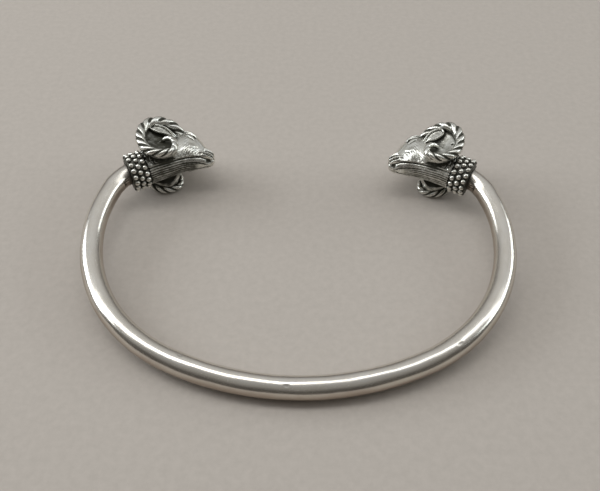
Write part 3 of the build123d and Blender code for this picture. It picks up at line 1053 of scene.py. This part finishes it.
def rope(rows, side_w):
    """A horn: ribs twisted round a tapering, curling line."""
    s, arc = even(rows, 240)
    c = s[:, :3].copy()
    c[:, 2] *= side_w
    r = s[:, 3]
    t = np.gradient(c, axis=0)
    t /= np.linalg.norm(t, axis=1)[:, None]
    n1 = np.zeros_like(c)
    n1[0] = norm(np.cross(t[0], v3(0.3, 0.1, 1)))
    for i in range(1, len(c)):
        w = n1[i - 1] - t[i] * (n1[i - 1] @ t[i])
        n1[i] = norm(w)
    n2 = np.cross(t, n1)
    lay = np.radians(np.interp(arc[1:], [0, arc[-1] * 0.45, arc[-1] * 0.8],
                               [HORN_LAY[0], HORN_LAY[0] + 2, HORN_LAY[1]]))
    step = np.diff(arc) * np.tan(lay) / (0.5 * (r[1:] + r[:-1]))
    tw = np.concatenate([[0], np.cumsum(step)]) * HORN_HAND * side_w
    per = 16
    around = STRANDS * per
    ph = np.abs((np.arange(around) % per + 0.5) / per - 0.5) * 2   # across one rib
    prof = 1 - 0.30 * (1 - np.sqrt(1 - 0.985 * np.clip(ph / 0.74, 0, 1) ** 2.1))
    ang = 2 * PI * (np.arange(around) + 0.5) / around
    # rounded tip
    end = np.clip((arc[-1] - arc) / (r[-1] * 1.2), 0, 1)
    rad = r * np.sqrt(np.clip(1 - (1 - end) ** 2, 0.002, 1))
    groove = 1 - (prof - prof.min()) / (prof.max() - prof.min())
    th = ang[None, :] + tw[:, None]
    out = np.cos(th)[..., None] * n1[:, None, :] + np.sin(th)[..., None] * n2[:, None, :]
    depth = np.interp(arc / arc[-1], [0, 0.05, 0.72, 0.84, 1.0], [0.6, 1.0, 1.0, 0.35, 0.10])
    to_mid = v3(DISH_MIDDLE[0], DISH_MIDDLE[1], 0) - c * v3(1, 1, 0)
    to_mid /= np.linalg.norm(to_mid, axis=1)[:, None]
    inner = (out * to_mid[:, None, :]).sum(-1)
    loop = np.interp(arc / arc[-1], [0.05, 0.12, 0.66, 0.76], [0, 1, 1, 0])
    depth = depth[:, None] * (1 - 0.70 * sstep(0.15, 0.95, inner) * loop[:, None])
    pr = 1 - (1 - prof[None, :]) * depth
    ring = c[:, None, :] + (rad[:, None] * pr)[..., None] * out
    v = np.concatenate([ring.reshape(-1, 3), c[:1], c[-1:]])
    k = len(c) * around
    faces = tube_faces(len(c), around, k, k + 1)
    dark = np.clip(groove[None, :] ** 1.1 * 1.25 - 0.04, 0, 1) * np.clip(depth * 1.1, 0, 1)
    dark = np.append(dark.ravel(), [0, 0])
    own = np.stack([np.repeat(arc, around), (r[:, None] * np.cos(th)).ravel(),
                    (r[:, None] * np.sin(th)).ravel()], 1)
    own = np.concatenate([own, [[0, 0, 0], [arc[-1], 0, 0]]])
    return v, faces, dark, own


def ear_leaf(rows, side_w, breadth):
    """An ear: a leaf with a raised rim and a veined hollow."""
    s, arc = even(rows, 600)
    want = arc[-1] * np.sin(np.linspace(0, 1, 80) * PI / 2)
    s = np.stack([np.interp(want, arc, s[:, k]) for k in range(s.shape[1])], 1)
    arc = want
    c = s[:, :3].copy()
    t = np.gradient(c, axis=0)
    t /= np.linalg.norm(t, axis=1)[:, None]
    x = np.cross(t, W_DIR)
    x /= np.linalg.norm(x, axis=1)[:, None]
    y = -np.cross(t, x)
    y *= np.sign(y[:, 2:3])
    T = s[:, 4]
    u = arc / arc[-1]
    b = breadth * np.where(u < 0.62, 0.34 + 0.66 * sstep(0.05, 0.62, u),
                           np.sqrt(np.clip(1 - ((u - 0.62) / 0.38) ** 2, 0, 1)))
    b = np.clip(b, 0.012, None)
    m = 56                                     # most of them on the front
    psi = np.linspace(0, 2 * PI, m, endpoint=False)
    psi = psi - 0.45 * np.sin(psi - PI / 2) - 0.45
    cc = np.cos(psi)
    front = np.sin(psi) >= 0
    yy = b[:, None] * cc[None, :]
    dist = b[:, None] - np.abs(yy)
    tip = (arc[-1] - arc)[:, None]
    dist = smin(dist, tip, 0.10)
    bowl = sstep(0.27, 0.38, dist) * sstep(0.10, 0.22, u)[:, None]
    rim = np.sqrt(np.clip(0.155 ** 2 - (dist - 0.15) ** 2, 0, 1))
    xx = arc[:, None]
    hatch = 0.7 * np.cos((xx * 0.75 + yy * 0.66) * 2 * PI / 0.21) \
        + 0.3 * np.cos((xx * 0.75 - yy * 0.66) * 2 * PI / 0.27)
    vein = np.exp(-(yy / 0.07) ** 2)
    nf = 1.3 * rim + 0.06 - 0.12 * bowl + bowl * (0.013 * hatch + 0.015 * vein)
    edge = np.sin(psi)[None, :]
    nf = nf * np.clip(edge * 6, 0, 1) ** 0.6
    nb = -0.75 * T[:, None] * np.sqrt(np.clip(1 - cc[None, :] ** 2, 0, 1))
    nn = np.where(front[None, :], nf, nb)
    bend = 0.10 * (cc[None, :] ** 2) * np.clip(b[:, None], 0, 1)
    ring = c[:, None, :] + yy[..., None] * x[:, None, :] + (nn + bend)[..., None] * y[:, None, :]
    ring[..., 2] *= side_w
    v = np.concatenate([ring.reshape(-1, 3), (c * v3(1, 1, side_w))[[0, -1]]])
    k = len(c) * m
    faces = tube_faces(len(c), m, k, k + 1)
    dark = np.where(front[None, :], bowl * (0.34 - 0.12 * hatch)
                    + 0.45 * np.exp(-((dist - 0.35) / 0.05) ** 2) * sstep(0.1, 0.2, u)[:, None], 0.25)
    dark = np.append(np.clip(dark, 0, 1).ravel(), [0, 0])
    own = np.concatenate([ring.reshape(-1, 3), v[-2:]])
    return v, faces, dark, own


GRID = 0.095


def build_head(head):
    """One head in its own frame: the parts, before they are put in place."""
    org = v3(-0.75, -1.95, 0.0)
    top = v3(11.8, 9.8, 5.8)
    ax = [np.arange(org[k], top[k], GRID).astype(F) for k in range(3)]
    P = np.meshgrid(*ax, indexing="ij")
    f, _ = skull_field(P, head)
    full = np.concatenate([f[:, :, :0:-1], f], 2)
    start = v3(org[0], org[1], -GRID * (len(ax[2]) - 1))
    v, quads = surface_nets(full, start, GRID)
    for _ in range(3):
        d, g = slope(v, head)
        n2 = np.maximum((g ** 2).sum(1), 0.15)
        v = v - g * np.clip(d / n2, -0.05, 0.05)[:, None]
    horn = near_line(P, org, GRID, [r[:3] + (r[3] * 0.93,) for r in HORN[head]], 60)
    ear = near_line(P, org, GRID, [(r[0], r[1], r[2] - 0.15, r[3] * 0.55) for r in EAR[head]], 12)
    closed = Near(np.minimum(np.minimum(f, horn), ear), org, GRID)
    cav = skull_field(columns(v), head)[1]
    cols = columns(v)
    _, level, side = dish_field(cols[0], cols[1], np.abs(cols[2]))
    spots = 0.5 + 0.5 * np.sin(v[:, 0] * 2.3 + 1.1 * np.sin(v[:, 1] * 1.9)) * np.cos(v[:, 1] * 2.7 + 0.6)
    # darkening in the dish: patina, and painted shade
    dish_patina_and_shade = sstep(-0.62, -0.30, np.abs(cols[2]) - level) * sstep(0.05, -1.25, side) \
        * (0.80 + 0.20 * spots)
    out = {"dish_patina_and_shade": dish_patina_and_shade, "parts": []}
    group = [(v, [quads], cav, v.copy())] + [rope(HORN[head], sw) for sw in (1, -1)] \
        + [ear_leaf(EAR[head], sw, EAR_BREADTH[head]) for sw in (1, -1)]
    for k, (v, faces, dark, own) in enumerate(group):
        faces = outward(v, faces)
        n = normals_of(v, faces)
        # patina in the hollows together with painted shade: the more closed in a point is, the darker it
        # is painted
        patina_and_occlusion_shade = closed.closed(v, n)
        least, much = (0.12, 1.25) if k < 3 else (0.45, 0.60)
        dark = np.clip(dark * 0.85 + np.clip(patina_and_occlusion_shade - least, 0, 1) * much, 0, 1)
        out["parts"].append((v, faces, dark, own))
    return out


def make_head(side, parts):
    s = Shell()
    at, spread, much = JAW[side]
    for k, (v, faces, dark, own) in enumerate(parts["parts"]):
        v = v.copy()
        if k == 0:
            # painted shade along the throat, and patina with painted shade in the dish
            low = sstep(1.5, 0.1, v[:, 1]) * sstep(9.6, 7.6, v[:, 0])
            dark = np.clip(dark + DISH_PATINA_AND_SHADE[side] * parts["dish_patina_and_shade"] + THROAT_SHADE[side] * low, 0, 1)
        v[:, 1] += much * bump(v[:, 0] - at, spread) * (1 - sstep(-0.4, 2.2, v[:, 1])) \
            * (1 - sstep(2.7, 3.1, np.abs(v[:, 2])))
        w = place(head_to_plane(v, side), side)
        s.add(w, outward(w, faces), dark, own + (0 if side == "right" else 40) + k * 3)
    return s


make_object("silver_bar", make_bar(), SILVER, "hoop")
for side, seed in (("right", 5), ("left", 11)):
    make_object(side + "_beaded_collar", make_collar(side, seed), BEADED,
                side + "_collar")
    make_object(side + "_ram_head", make_head(side, build_head(side)), OXIDISED,
                side + "_head")


# ------------------------------------------------------------ floor and light
def make_floor():
    me = bpy.data.meshes.new("floor")
    s = 3.0
    me.from_pydata([(-s, -s, 0), (s, -s, 0), (s, s, 0), (-s, s, 0)], [], [(0, 1, 2, 3)])
    ob = bpy.data.objects.new("floor", me)
    bpy.context.scene.collection.objects.link(ob)
    m = Nodes("pale_floor")
    co = m.new("ShaderNodeTexCoord").outputs["Object"]
    n = m.noise(co, 900.0, 3, 0.6)
    colour = m.mix(m.range(n, 0.3, 0.7, 0.0, 1.0), (0.495, 0.452, 0.408, 1), (0.54, 0.494, 0.448, 1))
    m.shader(colour, 0.9, 0.0, m.bump(n, 0.00006, 0.4))
    me.materials.append(m.mat)


def area(name, loc, target, size, power, colour=(1, 1, 1), size_y=None):
    d = bpy.data.lights.new(name, "AREA")
    d.energy = power
    d.color = colour
    d.shape = "RECTANGLE"
    d.size = size
    d.size_y = size_y or size
    ob = bpy.data.objects.new(name, d)
    bpy.context.scene.collection.objects.link(ob)
    ob.location = loc
    ob.rotation_euler = (Vector(target) - Vector(loc)).to_track_quat("-Z", "Y").to_euler()


make_floor()
area("long_softbox", (-0.51, 0.115, 0.60), (-0.51, 0.0, 0), 1.06, 1.75, (1.0, 0.998, 0.985), 0.165)
area("dim_softbox", (0.60, 0.115, 0.60), (0.60, 0.0, 0), 1.14, 0.85, (0.985, 1.0, 1.0), 0.165)
area("left_window", (-0.80, 0.22, 0.36), (0, 0, 0), 0.55, 3.0, (0.93, 0.97, 1.0), 0.30)
area("right_window", (0.80, 0.24, 0.34), (0, 0, 0), 0.78, 1.4, (0.93, 0.99, 1.0), 0.22)

world = bpy.data.worlds.new("studio")
bpy.context.scene.world = world
world.use_nodes = True
wt = world.node_tree
wt.nodes.clear()
wo = wt.nodes.new("ShaderNodeOutputWorld")
wb = wt.nodes.new("ShaderNodeBackground")
wc = wt.nodes.new("ShaderNodeTexCoord")
ws = wt.nodes.new("ShaderNodeSeparateXYZ")
wt.links.new(wc.outputs["Generated"], ws.inputs[0])


def sky(stops):
    """Colours of the world by height, 0 at the horizon and 1 overhead."""
    n = wt.nodes.new("ShaderNodeValToRGB")
    wt.links.new(ws.outputs["Z"], n.inputs[0])
    while len(n.color_ramp.elements) < len(stops):
        n.color_ramp.elements.new(0.5)
    for e, (at, colour) in zip(n.color_ramp.elements, stops):
        e.position, e.color = at, colour + (1,)
    return n.outputs[0]


far_sky = sky([(0.0, (0.140, 0.131, 0.120)), (0.20, (0.200, 0.190, 0.178)),
               (0.42, (0.360, 0.352, 0.340)), (0.62, (0.50, 0.497, 0.49)),
               (1.0, (0.58, 0.58, 0.575))])
near_sky = sky([(0.0, (0.085, 0.078, 0.070)), (0.42, (0.090, 0.084, 0.077)),
                (0.70, (0.240, 0.230, 0.215)), (1.0, (0.34, 0.34, 0.335))])
wm = wt.nodes.new("ShaderNodeMapRange")
wm.interpolation_type = "SMOOTHSTEP"
for k, x in (("From Min", -0.25), ("From Max", 0.25), ("To Min", 0.0), ("To Max", 1.0)):
    wm.inputs[k].default_value = x
wt.links.new(ws.outputs["Y"], wm.inputs["Value"])
wx = wt.nodes.new("ShaderNodeMix")
wx.data_type = "RGBA"
wt.links.new(wm.outputs[0], wx.inputs[0])
wt.links.new(near_sky, wx.inputs[6])
wt.links.new(far_sky, wx.inputs[7])
wt.links.new(wx.outputs[2], wb.inputs[0])
wb.inputs[1].default_value = 1.0
wt.links.new(wb.outputs[0], wo.inputs[0])
bpy.context.scene.view_settings.view_transform = "Standard"

for ob in bpy.data.objects:
    if ob.type == "MESH" and ob.name.split("_")[0] in ("silver", "right", "left"):
        print(ob.name, "triangles", sum(len(f.vertices) - 2 for f in ob.data.polygons))
